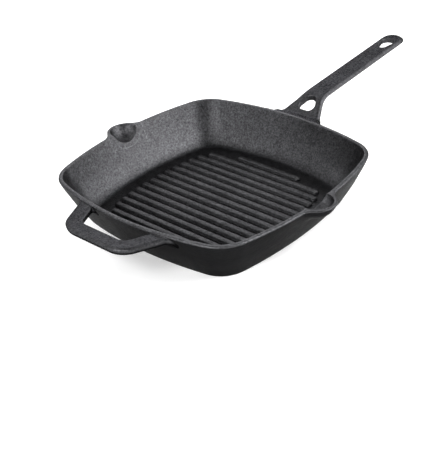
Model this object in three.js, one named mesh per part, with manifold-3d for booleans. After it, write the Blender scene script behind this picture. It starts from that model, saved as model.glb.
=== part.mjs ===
// Square ribbed grill skillet in cast iron, with a long handle, a helper handle and two pour spouts.
// Millimetres, +Z up. The origin is the centre of the flat underside. +X runs out along the long
// handle, the helper handle is on -X, and the pour spouts are on +Y and -Y.
// The real pan is one casting. Each cast feature is a solid of its own here.
import * as THREE from 'three';
import { mergeVertices } from 'three/addons/utils/BufferGeometryUtils.js';
import Module from 'manifold-3d';

const wasm = await Module();
wasm.setup();

// ---- driving dimensions -------------------------------------------------------------------
// Pan body: its plan is a rounded square whose four sides bow gently outward.
const PAN_HEIGHT = 50;
const RIM_HALF = 132.5; // centre to the middle of a side, outside, at the rim
const RIM_SIDE_RADIUS = 350;
const RIM_CORNER_RADIUS = 38;
const BASE_HALF = 106; // the same three sizes at the underside
const BASE_SIDE_RADIUS = 430;
const BASE_CORNER_RADIUS = 30;
const WALL_BELLY = 1.5; // how far the wall swells beyond straight at half height
const BASE_CHAMFER = 2;
const WALL = 4.2; // measured level
const FLOOR = 5;

// Griddle ribs: a row across the floor, inside a flat gutter that carries the fat to the spouts.
const RIB_COUNT = 16;
const RIB_WIDTH = 6.4;
const RIB_HEIGHT = 3.8;
const RIB_DRAFT = 0.7; // how much each side leans in from foot to shoulder
const RIB_CROWN = 1.25; // rise of the rounded crown
const GUTTER = 16.4; // wall foot to rib field, on average
const RIB_FIELD_SIDE_RADIUS = 300;
const RIB_FIELD_CORNER_RADIUS = 28;
const RIB_FIELD_SHIFT = -2; // the field sits a little toward the helper handle
const RIB_ROW_INSET = 3; // edge of the rib field to the middle of the first rib

// Pour spouts: a ball-shaped scoop through the rim, in a shell of even thickness.
const SPOUT_SCOOP_RADIUS = 17;
const SPOUT_WALL = 3.3;
const SPOUT_SETBACK = 4.5; // outer rim to the middle of the scoop
const SPOUT_RISE = 4.6; // middle of the scoop above the rim

// Helper handle: a flat loop just below the rim.
const HELPER_REACH = 37; // beyond the rim
const HELPER_THICKNESS = 8;
const HELPER_DROP = 1.5; // its top face below the rim
const HELPER_BAR = 15.5; // width of the front bar
const HELPER_LEG = 18.2; // width of a leg, measured along Y
const HELPER_FRONT_HALF = 39.2; // half the front, before its corners are rounded
const HELPER_LEG_SPREAD = 0.46; // how fast the legs widen toward the pan
const HELPER_OUTER_RADIUS = 24;
const HELPER_INNER_RADIUS = 11;

// Long handle: a forked ramp up from the wall, a bend, and a nearly level bar.
const HANDLE_REACH = 201.5; // beyond the rim
const HANDLE_HALF_WIDTH = 14.2;
const HANDLE_THICKNESS = 6;
const HANDLE_RAMP_ANGLE = 31; // degrees
const HANDLE_BAR_ANGLE = 4.8; // degrees
const BEND_REACH = 35.3; // rim to the corner of the bend
const BEND_RISE = 12.7; // top corner of the bend above the rim
const BEND_RADIUS = 40; // on the top face
const NECK_REACH = 33.3; // rim to where the fork meets the bar, in plan
const FORK_ANGLE = 26.7; // degrees, each leg to the handle's middle line
const FORK_LEG = 9; // width of a leg
const NECK_RADIUS = 42;
const LEDGE_DROP = 1; // level top of the handle's root below the rim
const LEDGE_REACH = 8.5; // rim to where the ledge has run into the ramp
const FORK_HOLE_REACH = 16.3; // rim to the near edge of the fork's hole
const FORK_HOLE_NEAR_RADIUS = 5.5;
const FORK_HOLE_FAR_RADIUS = 7;
const HANG_HOLE_RADIUS = 7.5; // wide end of the teardrop, toward the tip
const HANG_HOLE_NECK_RADIUS = 5; // narrow end
const HANG_HOLE_TIP_WALL = 15; // iron left beyond the hole
const HANG_HOLE_SPACING = 11; // between the centres of its two ends

// Fits and smoothness
const SEAM = 0.3; // gap kept where one cast feature runs into the wall
const SIDE_STEPS = 10; // facets along a bowed side
const CORNER_STEPS = 8; // facets round a corner
const ARC_STEPS = 8;
const WALL_STEPS = 5; // facets up the wall's belly

// ---- colours --------------------------------------------------------------------------------
const iron = (color, roughness) => new THREE.MeshStandardMaterial({ color, roughness, metalness: 0.8 });

// ---- solids ---------------------------------------------------------------------------------
const radians = THREE.MathUtils.degToRad;

function solid(geometry) {
  const bare = geometry.index ? geometry.toNonIndexed() : geometry.clone();
  bare.deleteAttribute('normal');
  bare.deleteAttribute('uv');
  const merged = mergeVertices(bare, 1e-4);
  const vertProperties = new Float32Array(merged.attributes.position.array);
  const triVerts = new Uint32Array(merged.index.array);
  return new wasm.Manifold(new wasm.Mesh({ numProp: 3, vertProperties, triVerts }));
}

function geometryOf(manifold) {
  const mesh = manifold.getMesh();
  const geometry = new THREE.BufferGeometry();
  geometry.setAttribute('position', new THREE.BufferAttribute(mesh.vertProperties, 3));
  geometry.setIndex(new THREE.BufferAttribute(mesh.triVerts, 1));
  geometry.computeVertexNormals();
  return geometry;
}

// A closed skin through rings of points; each ring has the same count and runs the same way.
// `loop` joins the last ring to the first, which makes a hollow frame; otherwise the ends are capped.
function loft(rings, loop) {
  const count = rings[0].length;
  const vertices = rings.flat().flatMap((point) => [point.x, point.y, point.z]);
  const faces = [];
  const bands = loop ? rings.length : rings.length - 1;
  for (let band = 0; band < bands; band += 1) {
    const lower = band * count;
    const upper = ((band + 1) % rings.length) * count;
    for (let i = 0; i < count; i += 1) {
      const next = (i + 1) % count;
      faces.push(lower + i, lower + next, upper + next);
      faces.push(lower + i, upper + next, upper + i);
    }
  }
  if (!loop) {
    const top = (rings.length - 1) * count;
    for (let i = 1; i < count - 1; i += 1) {
      faces.push(0, i + 1, i);
      faces.push(top, top + i, top + i + 1);
    }
  }
  const geometry = new THREE.BufferGeometry();
  geometry.setAttribute('position', new THREE.Float32BufferAttribute(vertices, 3));
  geometry.setIndex(faces);
  return geometry;
}

// A flat outline, drawn in plan and raised from `bottom` to `top`.
function plate(shape, bottom, top) {
  const geometry = new THREE.ExtrudeGeometry(shape, {
    depth: top - bottom,
    bevelEnabled: false,
    curveSegments: ARC_STEPS,
  });
  return solid(geometry.translate(0, 0, bottom));
}

// A side view, drawn with x along X and y up, and spread evenly about the XZ plane.
function slab(shape, width) {
  const geometry = new THREE.ExtrudeGeometry(shape, {
    depth: width,
    bevelEnabled: false,
    curveSegments: ARC_STEPS,
  });
  geometry.translate(0, 0, -width / 2);
  return solid(geometry.rotateX(Math.PI / 2));
}

// A polygon with rounded corners. Each corner is { x, y, radius }; radius 0 stays sharp.
function roundedShape(corners) {
  const shape = new THREE.Shape();
  corners.forEach((corner, i) => {
    const here = new THREE.Vector2(corner.x, corner.y);
    const before = corners[(i + corners.length - 1) % corners.length];
    const after = corners[(i + 1) % corners.length];
    const back = new THREE.Vector2(before.x, before.y).sub(here).normalize();
    const ahead = new THREE.Vector2(after.x, after.y).sub(here).normalize();
    const halfAngle = Math.acos(THREE.MathUtils.clamp(back.dot(ahead), -1, 1)) / 2;
    const run = corner.radius / Math.tan(halfAngle);
    const start = here.clone().addScaledVector(back, run);
    const end = here.clone().addScaledVector(ahead, run);
    if (i === 0) shape.moveTo(start.x, start.y);
    else shape.lineTo(start.x, start.y);
    if (corner.radius > 0) {
      const inward = back.clone().add(ahead).normalize();
      const centre = here.clone().addScaledVector(inward, corner.radius / Math.sin(halfAngle));
      const from = start.clone().sub(centre).angle();
      const to = end.clone().sub(centre).angle();
      shape.absarc(centre.x, centre.y, corner.radius, from, to, back.cross(ahead) > 0);
    }
  });
  shape.closePath();
  return shape;
}

// ---- plan outline of the pan ------------------------------------------------------------------
// Middle of the corner arc, on the diagonal, where it runs smoothly into both bowed sides.
function cornerCentre(outline) {
  const reach = outline.sideRadius - outline.cornerRadius;
  const offset = outline.sideRadius - outline.half;
  return (-offset + Math.sqrt(2 * reach * reach - offset * offset)) / 2;
}

function outlinePoints(outline, z) {
  const centre = cornerCentre(outline);
  const sideCentre = outline.half - outline.sideRadius;
  const turn = Math.atan2(centre, centre - sideCentre);
  const quarter = [];
  for (let i = 0; i < SIDE_STEPS; i += 1) {
    const angle = -turn + (2 * turn * i) / SIDE_STEPS;
    const x = sideCentre + outline.sideRadius * Math.cos(angle);
    quarter.push(new THREE.Vector3(x, outline.sideRadius * Math.sin(angle), z));
  }
  for (let i = 0; i < CORNER_STEPS; i += 1) {
    const angle = turn + ((Math.PI / 2 - 2 * turn) * i) / CORNER_STEPS;
    const x = centre + outline.cornerRadius * Math.cos(angle);
    quarter.push(new THREE.Vector3(x, centre + outline.cornerRadius * Math.sin(angle), z));
  }
  const up = new THREE.Vector3(0, 0, 1);
  const turned = (k) => quarter.map((point) => point.clone().applyAxisAngle(up, (k * Math.PI) / 2));
  return [0, 1, 2, 3].flatMap(turned);
}

// The pan's outside at height z, grown outward by `grow` or shrunk by a negative one.
function panOutline(z, grow) {
  const share = z / PAN_HEIGHT;
  const offset = WALL_BELLY * Math.sin(Math.PI * THREE.MathUtils.clamp(share, 0, 1)) + grow;
  return {
    half: THREE.MathUtils.lerp(BASE_HALF, RIM_HALF, share) + offset,
    sideRadius: THREE.MathUtils.lerp(BASE_SIDE_RADIUS, RIM_SIDE_RADIUS, share) + offset,
    cornerRadius: THREE.MathUtils.lerp(BASE_CORNER_RADIUS, RIM_CORNER_RADIUS, share) + offset,
  };
}

const panRing = (z, grow) => outlinePoints(panOutline(z, grow), z);

// ---- pan body ---------------------------------------------------------------------------------
function panFloor() {
  const underside = outlinePoints(panOutline(BASE_CHAMFER, -BASE_CHAMFER), 0);
  return loft([underside, panRing(BASE_CHAMFER, 0), panRing(FLOOR, 0)], false);
}

const wallShares = Array.from({ length: WALL_STEPS + 1 }, (_, i) => i / WALL_STEPS);
const wallLevels = wallShares.map((share) => THREE.MathUtils.lerp(FLOOR, PAN_HEIGHT, share));

function panWall() {
  const outside = wallLevels.map((z) => panRing(z, 0));
  const inside = wallLevels.map((z) => panRing(z, -WALL));
  return solid(loft([...outside, ...inside.reverse()], true));
}

// Everything inside the pan's outer face, grown by the seam: what a handle or a spout is cut back to.
// Its rings stand at the wall's own levels, so its facets lie along the wall's facets.
function panBlank() {
  const levels = [0, ...wallLevels, PAN_HEIGHT + SPOUT_SCOOP_RADIUS];
  return solid(loft(levels.map((z) => panRing(z, SEAM)), false));
}

// ---- pour spouts ------------------------------------------------------------------------------
function ball(radius, side) {
  const geometry = new THREE.SphereGeometry(radius, 4 * ARC_STEPS, 2 * ARC_STEPS).rotateX(Math.PI / 2);
  return solid(geometry.translate(0, side * (RIM_HALF - SPOUT_SETBACK), PAN_HEIGHT + SPOUT_RISE));
}

const scoop = (side) => ball(SPOUT_SCOOP_RADIUS, side);

function spout(side) {
  const size = 2 * (SPOUT_SCOOP_RADIUS + SPOUT_WALL);
  const below = new THREE.BoxGeometry(size, 2 * RIM_HALF + 2 * size, PAN_HEIGHT);
  const belowRim = solid(below.translate(0, 0, PAN_HEIGHT / 2));
  const shell = ball(SPOUT_SCOOP_RADIUS + SPOUT_WALL, side).intersect(belowRim);
  return shell.subtract(scoop(side)).subtract(panBlank());
}

// ---- griddle ribs -----------------------------------------------------------------------------
function ribField() {
  return {
    half: panOutline(FLOOR, -WALL).half - GUTTER,
    sideRadius: RIB_FIELD_SIDE_RADIUS,
    cornerRadius: RIB_FIELD_CORNER_RADIUS,
  };
}

// Half the length of a rib whose middle line is `offset` from the middle of the rib field.
function ribHalfLength(offset) {
  const field = ribField();
  const centre = cornerCentre(field);
  const sideCentre = field.half - field.sideRadius;
  const turn = Math.atan2(centre, centre - sideCentre);
  const along = Math.abs(offset);
  if (along < field.sideRadius * Math.sin(turn)) {
    return sideCentre + Math.sqrt(field.sideRadius ** 2 - along ** 2);
  }
  if (along < centre + field.cornerRadius * Math.cos(turn)) {
    return centre + Math.sqrt(field.cornerRadius ** 2 - (along - centre) ** 2);
  }
  return Math.sqrt(field.sideRadius ** 2 - (along - sideCentre) ** 2);
}

// One rib, standing on z = 0: drafted sides, a rounded crown and rounded ends.
function rib(halfLength) {
  const foot = RIB_WIDTH / 2;
  const shoulder = foot - RIB_DRAFT;
  const section = new THREE.Shape();
  section.moveTo(-foot, 0);
  section.lineTo(foot, 0);
  section.lineTo(shoulder, RIB_HEIGHT - RIB_CROWN);
  section.absellipse(0, RIB_HEIGHT - RIB_CROWN, shoulder, RIB_CROWN, 0, Math.PI, false);
  section.closePath();
  const plan = new THREE.Shape();
  plan.absarc(0, halfLength - foot, foot, 0, Math.PI, false);
  plan.absarc(0, foot - halfLength, foot, Math.PI, 2 * Math.PI, false);
  plan.closePath();
  const bar = slab(section, 2 * halfLength);
  return bar.intersect(plate(plan, -RIB_HEIGHT, 2 * RIB_HEIGHT));
}

// ---- helper handle ----------------------------------------------------------------------------
function helperHandle() {
  const front = -(RIM_HALF + HELPER_REACH);
  const inside = HELPER_REACH + HELPER_BAR; // far enough in to be cut off by the wall
  const loop = (x, half, radius) => {
    const back = x + inside;
    const backHalf = half + inside * HELPER_LEG_SPREAD;
    return roundedShape([
      { x: back, y: backHalf, radius: 0 },
      { x, y: half, radius },
      { x, y: -half, radius },
      { x: back, y: -backHalf, radius: 0 },
    ]);
  };
  const innerHalf = HELPER_FRONT_HALF + HELPER_BAR * HELPER_LEG_SPREAD - HELPER_LEG;
  const top = PAN_HEIGHT - HELPER_DROP;
  const bottom = top - HELPER_THICKNESS;
  const outer = plate(loop(front, HELPER_FRONT_HALF, HELPER_OUTER_RADIUS), bottom, top);
  const gapShape = loop(front + HELPER_BAR, innerHalf, HELPER_INNER_RADIUS);
  const gap = plate(gapShape, bottom - HELPER_THICKNESS, top + HELPER_THICKNESS);
  return outer.subtract(gap).subtract(panBlank());
}

// ---- long handle ------------------------------------------------------------------------------
const tipX = RIM_HALF + HANDLE_REACH;
const bend = { x: RIM_HALF + BEND_REACH, z: PAN_HEIGHT + BEND_RISE };
const rampSlope = Math.tan(radians(HANDLE_RAMP_ANGLE));
const barSlope = Math.tan(radians(HANDLE_BAR_ANGLE));

// Side view: ramp and bar of even thickness, with a level ledge where the root meets the rim.
function handleSide() {
  const half = radians(HANDLE_RAMP_ANGLE - HANDLE_BAR_ANGLE) / 2;
  const middle = radians(HANDLE_RAMP_ANGLE + HANDLE_BAR_ANGLE) / 2;
  const lower = HANDLE_THICKNESS / Math.cos(half);
  const under = { x: bend.x + lower * Math.sin(middle), z: bend.z - lower * Math.cos(middle) };
  const root = RIM_HALF - 2 * BEND_REACH;
  const ledgeEnd = RIM_HALF + LEDGE_REACH;
  const ramp = (corner, x) => corner.z + (x - corner.x) * rampSlope;
  const bar = (corner, x) => corner.z + (x - corner.x) * barSlope;
  return roundedShape([
    { x: root, y: ramp(under, root), radius: 0 },
    { x: under.x, y: under.z, radius: BEND_RADIUS - HANDLE_THICKNESS },
    { x: tipX, y: bar(under, tipX), radius: 0 },
    { x: tipX, y: bar(bend, tipX), radius: 0 },
    { x: bend.x, y: bend.z, radius: BEND_RADIUS },
    { x: ledgeEnd, y: ramp(bend, ledgeEnd), radius: 0 },
    { x: RIM_HALF, y: PAN_HEIGHT - LEDGE_DROP, radius: 0 },
    { x: root, y: PAN_HEIGHT - LEDGE_DROP, radius: 0 },
  ]);
}

// Plan view: the fork's two legs run together into the bar, which ends in a round tip.
function handlePlan() {
  const neck = RIM_HALF + NECK_REACH;
  const root = RIM_HALF - NECK_REACH;
  const rootHalf = HANDLE_HALF_WIDTH + (neck - root) * Math.tan(radians(FORK_ANGLE));
  const tipRadius = HANDLE_HALF_WIDTH;
  return roundedShape([
    { x: root, y: -rootHalf, radius: 0 },
    { x: neck, y: -HANDLE_HALF_WIDTH, radius: NECK_RADIUS },
    { x: tipX, y: -HANDLE_HALF_WIDTH, radius: tipRadius },
    { x: tipX, y: HANDLE_HALF_WIDTH, radius: tipRadius },
    { x: neck, y: HANDLE_HALF_WIDTH, radius: NECK_RADIUS },
    { x: root, y: rootHalf, radius: 0 },
  ]);
}

// The hole between the legs: its sides run along the legs, and its near edge along the rim.
function forkHole() {
  const slope = Math.tan(radians(FORK_ANGLE));
  const near = RIM_HALF + FORK_HOLE_REACH;
  const neck = RIM_HALF + NECK_REACH;
  const legAcross = FORK_LEG / Math.cos(radians(FORK_ANGLE));
  const nearHalf = HANDLE_HALF_WIDTH + (neck - near) * slope - legAcross;
  return roundedShape([
    { x: near, y: nearHalf, radius: FORK_HOLE_NEAR_RADIUS },
    { x: near, y: -nearHalf, radius: FORK_HOLE_NEAR_RADIUS },
    { x: near + nearHalf / slope, y: 0, radius: FORK_HOLE_FAR_RADIUS },
  ]);
}

// The hanging hole near the tip: a teardrop, wide toward the tip.
function hangHole() {
  const wide = tipX - HANG_HOLE_TIP_WALL - HANG_HOLE_RADIUS;
  const narrow = wide - HANG_HOLE_SPACING;
  const lean = Math.asin((HANG_HOLE_RADIUS - HANG_HOLE_NECK_RADIUS) / HANG_HOLE_SPACING);
  const touch = Math.PI / 2 + lean;
  const shape = new THREE.Shape();
  shape.absarc(wide, 0, HANG_HOLE_RADIUS, -touch, touch, false);
  shape.absarc(narrow, 0, HANG_HOLE_NECK_RADIUS, touch, 2 * Math.PI - touch, false);
  shape.closePath();
  return shape;
}

function longHandle() {
  const high = bend.z + HANDLE_REACH;
  const side = slab(handleSide(), 4 * RIM_HALF);
  const body = side.intersect(plate(handlePlan(), 0, high));
  const holes = plate(forkHole(), 0, high).add(plate(hangHole(), 0, high));
  return body.subtract(holes).subtract(panBlank());
}

// ---- the assembled pan ------------------------------------------------------------------------
const skillet = new THREE.Group();

function place(name, geometry, material, position = [0, 0, 0]) {
  const mesh = new THREE.Mesh(geometry, material);
  mesh.name = name;
  mesh.position.set(...position);
  skillet.add(mesh);
}

place('pan_floor', panFloor(), iron(0x232325, 0.62));
place('pan_wall', geometryOf(panWall().subtract(scoop(1)).subtract(scoop(-1))), iron(0x2c2c2f, 0.58));
place('pour_spout_left', geometryOf(spout(1)), iron(0x2a2a2d, 0.58));
place('pour_spout_right', geometryOf(spout(-1)), iron(0x2a2a2d, 0.58));
place('long_handle', geometryOf(longHandle()), iron(0x38383b, 0.55));
place('helper_handle', geometryOf(helperHandle()), iron(0x343437, 0.55));

const firstRib = ribField().half - RIB_ROW_INSET;
const ribPitch = (2 * firstRib) / (RIB_COUNT - 1);
for (let i = 0; i < RIB_COUNT; i += 1) {
  const offset = firstRib - i * ribPitch;
  const name = `rib_${String(i + 1).padStart(2, '0')}`;
  const position = [RIB_FIELD_SHIFT + offset, 0, FLOOR];
  place(name, geometryOf(rib(ribHalfLength(offset))), iron(0x303033, 0.6), position);
}

export default skillet;
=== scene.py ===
import math

import bpy
import numpy as np
from mathutils import Matrix, Vector


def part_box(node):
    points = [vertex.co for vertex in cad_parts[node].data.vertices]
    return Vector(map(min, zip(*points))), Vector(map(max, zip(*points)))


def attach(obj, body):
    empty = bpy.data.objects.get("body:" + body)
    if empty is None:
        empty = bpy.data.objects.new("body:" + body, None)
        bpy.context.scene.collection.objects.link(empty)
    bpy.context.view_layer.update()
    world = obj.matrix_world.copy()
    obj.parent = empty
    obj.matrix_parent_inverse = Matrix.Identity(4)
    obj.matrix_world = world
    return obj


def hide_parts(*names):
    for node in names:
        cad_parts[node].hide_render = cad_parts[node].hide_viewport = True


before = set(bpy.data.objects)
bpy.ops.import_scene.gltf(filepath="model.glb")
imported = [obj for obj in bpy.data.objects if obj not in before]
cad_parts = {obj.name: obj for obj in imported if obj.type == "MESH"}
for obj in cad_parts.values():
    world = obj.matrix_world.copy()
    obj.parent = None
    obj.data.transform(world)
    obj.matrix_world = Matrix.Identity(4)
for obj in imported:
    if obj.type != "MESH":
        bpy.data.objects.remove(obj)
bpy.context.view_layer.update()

# Square ribbed cast iron grill skillet. Lengths here are millimetres until a mesh is made.
MM = 0.001


def box_mm(node):
    low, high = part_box(node)
    return np.array(low) / MM, np.array(high) / MM


# ---- sizes ------------------------------------------------------------------------------------
wall_high = box_mm("pan_wall")[1]
floor_high = box_mm("pan_floor")[1]
handle_high = box_mm("long_handle")[1]
helper_low, helper_high = box_mm("helper_handle")

RIM_Z = wall_high[2]
FLOOR_Z = floor_high[2]
RIM_HALF = wall_high[0]
BASE_HALF = 106.0
RIM_SIDE_RADIUS = 350.0
BASE_SIDE_RADIUS = 430.0
RIM_CORNER_RADIUS = 38.0
BASE_CORNER_RADIUS = 30.0
WALL_BELLY = 1.5  # how far the wall swells beyond straight at half height
FOOT_SIDE_RADIUS = 280.0  # the wall's foot inside the pan bows more and turns wider than its outside
FOOT_CORNER_RADIUS = 28.0
FOOT_FADE = 18.0
WALL = 4.2
WALL_SLOPE = (RIM_HALF - BASE_HALF) / RIM_Z
WALL_COS = math.cos(math.atan(WALL_SLOPE))
BEAD = 0.7  # the rim stands this much prouder than the wall below it
BEAD_LOW = 30.0
BEAD_HIGH = 47.0
FLOOR_FILLET = 6.0
RIM_INNER_FILLET = 1.4
RIM_OUTER_FILLET = 1.4
BASE_FILLET = 2.6

SCOOP_RADIUS = 17.0
SPOUT_WALL = 3.3
SCOOP_Y = RIM_HALF - 4.5
SCOOP_Z = RIM_Z + 4.6
SPOUT_BLEND = 8.0
SPOUT_LOW = 26.0

HANDLE_TIP = handle_high[0]
HANDLE_HALF_WIDTH = 14.2
HANDLE_THICKNESS = 6.0
BEND_X = RIM_HALF + 35.3
BEND_Z = RIM_Z + 12.7
RAMP_ANGLE = math.radians(31.0)
BAR_ANGLE = math.radians(4.8)
BEND_RADIUS = 40.0
NECK_X = RIM_HALF + 33.3
FORK_ANGLE = math.radians(26.7)
NECK_RADIUS = 42.0
FORK_LEG = 9.0
HANDLE_BEVEL_WIDE = 3.6
HANDLE_BEVEL_DOWN = 2.7
HANDLE_UNDER_WIDE = 9.0
LEDGE_Z = RIM_Z - 0.8
LEDGE_EDGE = RIM_HALF + 3.8
LEDGE_FALL = math.radians(-35.0)
LEDGE_EDGE_RADIUS = 3.0
HOLE_X = RIM_HALF + 16.3
HOLE_NEAR_RADIUS = 5.5
HOLE_FAR_RADIUS = 7.0
HANG_RADIUS = 7.5
HANG_NECK_RADIUS = 5.0
HANG_X = HANDLE_TIP - 15.0 - HANG_RADIUS
HANG_SPACING = 11.0
HOLE_CHAMFER = 0.9

HELPER_FRONT = -helper_low[0]
HELPER_TOP = helper_high[2]
HELPER_THICKNESS = helper_high[2] - helper_low[2]
HELPER_BAR = 15.5
HELPER_LEG = 18.2
HELPER_FRONT_HALF = 39.2
HELPER_SPREAD = 0.46
HELPER_OUTER_RADIUS = 24.0
HELPER_INNER_RADIUS = 11.0
HELPER_BEVEL_WIDE = 2.4
HELPER_BEVEL_DOWN = 1.7
HELPER_UNDER_WIDE = 3.4

RIB_NODES = sorted(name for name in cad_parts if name.startswith("rib_"))


# ---- camera -----------------------------------------------------------------------------------
CAMERA_AZIMUTH = math.radians(-46.749)
CAMERA_ELEVATION = math.radians(32.233)
CAMERA_ROLL = math.radians(-3.959)
CAMERA_DISTANCE = 1042.612
CAMERA_ASIDE = -6.832
CAMERA_ABOVE = 29.928
CAMERA_LENS = 77.65
CAMERA_SENSOR = 36.0

az, el, roll = CAMERA_AZIMUTH, CAMERA_ELEVATION, CAMERA_ROLL
back = Vector((math.sin(az) * math.cos(el), -math.cos(az) * math.cos(el), math.sin(el)))
level = Vector((math.cos(az), math.sin(az), 0.0))
upward = back.cross(level)
right = math.cos(roll) * level + math.sin(roll) * upward
above = -math.sin(roll) * level + math.cos(roll) * upward
camera_data = bpy.data.cameras.new("camera")
camera_data.lens = CAMERA_LENS
camera_data.sensor_width = CAMERA_SENSOR
camera_data.clip_start = 0.01
camera_data.clip_end = 50.0
camera = bpy.data.objects.new("camera", camera_data)
eye = (CAMERA_DISTANCE * back - CAMERA_ASIDE * right - CAMERA_ABOVE * above) * MM
turn = Matrix((right, above, back)).transposed().to_4x4()
camera.matrix_world = Matrix.Translation(eye) @ turn
bpy.context.scene.collection.objects.link(camera)
bpy.context.scene.camera = camera


# ---- materials --------------------------------------------------------------------------------
METALLIC = 0.97
SPECULAR_LEVEL = 0.25
BARE_IRON = (0.16, 0.16, 0.168, 1.0)

# Noise scales, in cycles a metre.
CLOUD_SCALE = 28.0
MOTTLE_SCALE = 170.0
PEBBLE_SCALE = 520.0
SAND_SCALE = 2100.0
PATCH_LOW = 0.36  # the range of the cloudy patches that goes from dark to light
PATCH_HIGH = 0.64
PEBBLE_LOW = 0.32
PEBBLE_HIGH = 0.68

POINTINESS_FROM = 0.52  # where an edge begins to be rubbed, and where it is rubbed most
POINTINESS_TO = 0.60
WEAR_POLISH = 0.12  # how much smoother the most rubbed edge is
ROUGH_SPREAD = 0.06  # the patches' roughness goes this far either side of the middle
SAND_SPREAD = 0.03
BUMP_DISTANCE = 0.0009

UNDER_PAINTED_SHADE = 0.2  # painted shade: surfaces facing down, such as the outside of the walls, which flares over, are darkened to this share, and their speckle is evened out
UNDER_FROM = -0.12  # height of the unit normal where that painted shade begins, and where it is whole
UNDER_TO = -0.34
UNDER_EVENED = 0.6
SOLE_LOW = 0.006  # metres above the table between which the iron is darkened to the material's sole share: painted shade on the floor and gutters inside the pan and on its foot outside
SOLE_HIGH = 0.012


def cast_iron(name, dark, light, roughness, grain, edge, speck, glance, sole_painted_shade):
    """Seasoned cast iron: sandy grain, cloudy seasoning, and edges rubbed a little brighter, which partly
    stands as a painted highlight along the rim; iron facing down and the lowest iron are darkened as
    painted shade.
    """
    material = bpy.data.materials.new(name)
    material.use_nodes = True
    nodes = material.node_tree.nodes
    links = material.node_tree.links
    shader = nodes["Principled BSDF"]
    shader.inputs["Metallic"].default_value = METALLIC
    shader.inputs["IOR"].default_value = 1.5
    shader.inputs["Specular IOR Level"].default_value = SPECULAR_LEVEL
    shader.inputs["Specular Tint"].default_value = (glance, glance, glance, 1.0)
    place = nodes.new("ShaderNodeTexCoord")

    def noise(scale, detail, rough):
        node = nodes.new("ShaderNodeTexNoise")
        node.inputs["Scale"].default_value = scale
        node.inputs["Detail"].default_value = detail
        node.inputs["Roughness"].default_value = rough
        links.new(place.outputs["Object"], node.inputs["Vector"])
        return node.outputs["Fac"]

    def span(value, low, high, to_low, to_high):
        node = nodes.new("ShaderNodeMapRange")
        node.inputs["From Min"].default_value = low
        node.inputs["From Max"].default_value = high
        node.inputs["To Min"].default_value = to_low
        node.inputs["To Max"].default_value = to_high
        links.new(value, node.inputs["Value"])
        return node.outputs["Result"]

    def maths(operation, first, second):
        node = nodes.new("ShaderNodeMath")
        node.operation = operation
        for socket, value in zip(node.inputs, (first, second)):
            if isinstance(value, float):
                socket.default_value = value
            else:
                links.new(value, socket)
        return node.outputs[0]

    clouds = noise(CLOUD_SCALE, 5.0, 0.6)
    mottle = noise(MOTTLE_SCALE, 4.0, 0.65)
    pebbles = noise(PEBBLE_SCALE, 3.0, 0.7)
    sand = noise(SAND_SCALE, 2.0, 0.5)
    geometry = nodes.new("ShaderNodeNewGeometry")
    # rubbed edges are lightened towards bare iron: real wear, and partly a painted highlight along the rim
    wear_and_painted_highlight = span(geometry.outputs["Pointiness"], POINTINESS_FROM, POINTINESS_TO, 0.0, edge)
    wear_and_painted_highlight = maths("MULTIPLY", wear_and_painted_highlight, span(mottle, 0.3, 0.6, 0.35, 1.0))

    patches = maths("ADD", maths("MULTIPLY", clouds, 0.45), maths("MULTIPLY", mottle, 0.55))
    ramp = nodes.new("ShaderNodeValToRGB")
    ramp.color_ramp.elements[0].position = PATCH_LOW
    ramp.color_ramp.elements[0].color = (*dark, 1.0)
    ramp.color_ramp.elements[1].position = PATCH_HIGH
    ramp.color_ramp.elements[1].color = (*light, 1.0)
    links.new(patches, ramp.inputs["Fac"])
    bare = nodes.new("ShaderNodeMix")
    bare.data_type = "RGBA"
    bare.inputs["B"].default_value = BARE_IRON
    links.new(wear_and_painted_highlight, bare.inputs["Factor"])
    links.new(ramp.outputs["Color"], bare.inputs["A"])
    facing = nodes.new("ShaderNodeSeparateXYZ")
    links.new(geometry.outputs["Normal"], facing.inputs["Vector"])
    # painted shade: iron facing down is darkened, and its speckle evened
    under = span(facing.outputs["Z"], UNDER_FROM, UNDER_TO, 0.0, 1.0)
    speckle_and_painted_shade = span(pebbles, PEBBLE_LOW, PEBBLE_HIGH, 1.0 - speck, 1.0 + speck)
    evened = maths("MULTIPLY", under, UNDER_EVENED)
    speckle_and_painted_shade = maths("ADD", maths("MULTIPLY", speckle_and_painted_shade, maths("SUBTRACT", 1.0, evened)), evened)
    speckle_and_painted_shade = maths("MULTIPLY", speckle_and_painted_shade, span(under, 0.0, 1.0, 1.0, UNDER_PAINTED_SHADE))
    rise = nodes.new("ShaderNodeSeparateXYZ")
    links.new(place.outputs["Object"], rise.inputs["Vector"])
    # painted shade: the lowest iron, the floor and gutters inside and the foot outside, is darkened
    low_painted_shade = span(rise.outputs["Z"], SOLE_LOW, SOLE_HIGH, sole_painted_shade, 1.0)
    speckle_and_painted_shade = maths("MULTIPLY", speckle_and_painted_shade, low_painted_shade)
    tinted = nodes.new("ShaderNodeMix")
    tinted.data_type = "RGBA"
    tinted.blend_type = "MULTIPLY"
    tinted.inputs["Factor"].default_value = 1.0
    links.new(bare.outputs["Result"], tinted.inputs["A"])
    links.new(speckle_and_painted_shade, tinted.inputs["B"])
    links.new(tinted.outputs["Result"], shader.inputs["Base Color"])

    smoothest = roughness - ROUGH_SPREAD
    roughest = roughness + ROUGH_SPREAD
    rough = span(patches, PATCH_LOW, PATCH_HIGH, smoothest, roughest)
    rough = maths("ADD", rough, span(sand, 0.3, 0.7, -SAND_SPREAD, SAND_SPREAD))
    rough = maths("SUBTRACT", rough, maths("MULTIPLY", wear_and_painted_highlight, WEAR_POLISH))
    links.new(rough, shader.inputs["Roughness"])

    relief = maths("ADD", maths("MULTIPLY", pebbles, 0.7), maths("MULTIPLY", sand, 0.3))
    bump = nodes.new("ShaderNodeBump")
    bump.inputs["Strength"].default_value = grain
    bump.inputs["Distance"].default_value = BUMP_DISTANCE
    links.new(relief, bump.inputs["Height"])
    links.new(bump.outputs["Normal"], shader.inputs["Normal"])
    return material


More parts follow.
